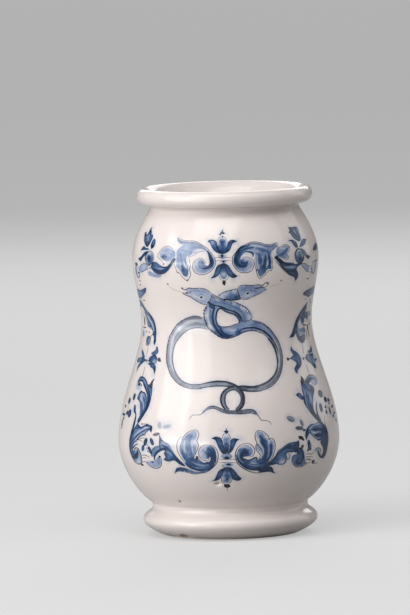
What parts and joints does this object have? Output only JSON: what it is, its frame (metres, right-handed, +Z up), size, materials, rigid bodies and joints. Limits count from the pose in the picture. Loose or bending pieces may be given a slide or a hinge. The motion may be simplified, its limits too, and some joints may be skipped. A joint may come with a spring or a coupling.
{
  "type": "medicine jar",
  "caption": "Waisted tin-glazed earthenware pharmacy jar with a rolled rim, full belly and spreading foot, open at the top, painted in cobalt blue.",
  "frame": {"origin": "centre of the standing ring, on the plane that the jar stands on", "axes": "+Z up the turning axis to the mouth, -Y to the painted front, +X to the right of the front"},
  "size_m": [0.1466, 0.1466, 0.23],
  "materials": {
    "bare_clay": "matt, fired buff-pink earthenware",
    "tin_glaze": "glossy warm white tin glaze painted in cobalt blue"
  },
  "bodies": {
    "root": {"earthenware_body": "bare_clay", "tin_glaze_coat": "tin_glaze"}
  },
  "joints": []
}
